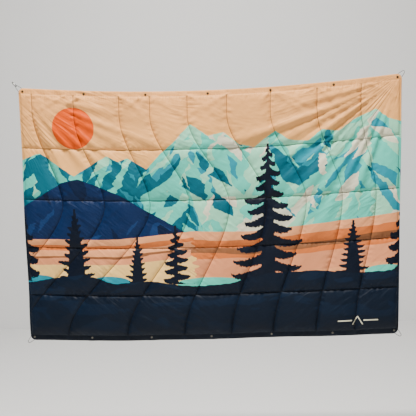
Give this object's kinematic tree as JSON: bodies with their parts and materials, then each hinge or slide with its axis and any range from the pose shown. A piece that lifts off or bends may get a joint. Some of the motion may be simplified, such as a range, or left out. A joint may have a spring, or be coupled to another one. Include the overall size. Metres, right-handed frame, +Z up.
{
  "type": "camp blanket",
  "caption": "Rectangular quilted camp blanket with a printed face, snap fasteners along two hems, corner cord loops and a small wire-gate carabiner.",
  "frame": {"origin": "middle of the line between the two top corners, where the blanket hangs from", "axes": "+X to the viewer's right along the blanket's length, printed face towards -Y, +Z up"},
  "size_m": [2.0804, 0.0454, 1.4025],
  "materials": {
    "printed_shell": "matt printed ripstop",
    "lining": "matt plain weave",
    "insulation": "soft fibre batting",
    "hem_tape": "woven tape",
    "socket_metal": "blackened",
    "stud_metal": "satin",
    "cap_metal": "blackened",
    "cord": "braided",
    "clip_metal": "satin black",
    "gate_wire": "polished"
  },
  "bodies": {
    "blanket_upper": {"face_fabric_upper": "printed_shell", "insulation_upper": "insulation", "back_fabric_upper": "lining", "top_hem_tape": "hem_tape", "snap_socket_1": "socket_metal", "snap_socket_2": "socket_metal", "snap_socket_3": "socket_metal", "snap_socket_4": "socket_metal", "snap_socket_5": "socket_metal", "snap_socket_6": "socket_metal", "snap_socket_7": "socket_metal", "socket_cap_1": "cap_metal", "socket_cap_2": "cap_metal", "socket_cap_3": "cap_metal", "socket_cap_4": "cap_metal", "socket_cap_5": "cap_metal", "socket_cap_6": "cap_metal", "socket_cap_7": "cap_metal", "corner_loop_upper_left": "cord", "corner_loop_upper_right": "cord"},
    "blanket_lower": {"face_fabric_lower": "printed_shell", "insulation_lower": "insulation", "back_fabric_lower": "lining", "bottom_hem_tape": "hem_tape", "snap_stud_1": "stud_metal", "snap_stud_2": "stud_metal", "snap_stud_3": "stud_metal", "snap_stud_4": "stud_metal", "snap_stud_5": "stud_metal", "snap_stud_6": "stud_metal", "snap_stud_7": "stud_metal", "stud_cap_1": "cap_metal", "stud_cap_2": "cap_metal", "stud_cap_3": "cap_metal", "stud_cap_4": "cap_metal", "stud_cap_5": "cap_metal", "stud_cap_6": "cap_metal", "stud_cap_7": "cap_metal", "corner_loop_lower_left": "cord", "corner_loop_lower_right": "cord"},
    "carabiner": {"carabiner_body": "clip_metal"},
    "gate": {"carabiner_gate": "gate_wire"}
  },
  "joints": [
    {"name": "fold_in_half", "type": "hinge", "parent": "blanket_upper", "child": "blanket_lower", "pos_m": [0, 0, -0.69], "axis": [-1, 0, 0], "range_deg": [-150, 150]},
    {"name": "carabiner_swing", "type": "hinge", "parent": "blanket_upper", "child": "carabiner", "pos_m": [-1.02786, 0.00001, 0.01232], "axis": [-0.7071, 0, -0.7071], "range_deg": [-90, 90]},
    {"name": "gate_open", "type": "hinge", "parent": "carabiner", "child": "gate", "pos_m": [-1.02764, -0.00572, 0.01777], "axis": [-0.5792, -0.5736, -0.5792], "range_deg": [0, 28], "stiffness_Nm_per_rad": 0.01, "springref_deg": -22.92}
  ]
}
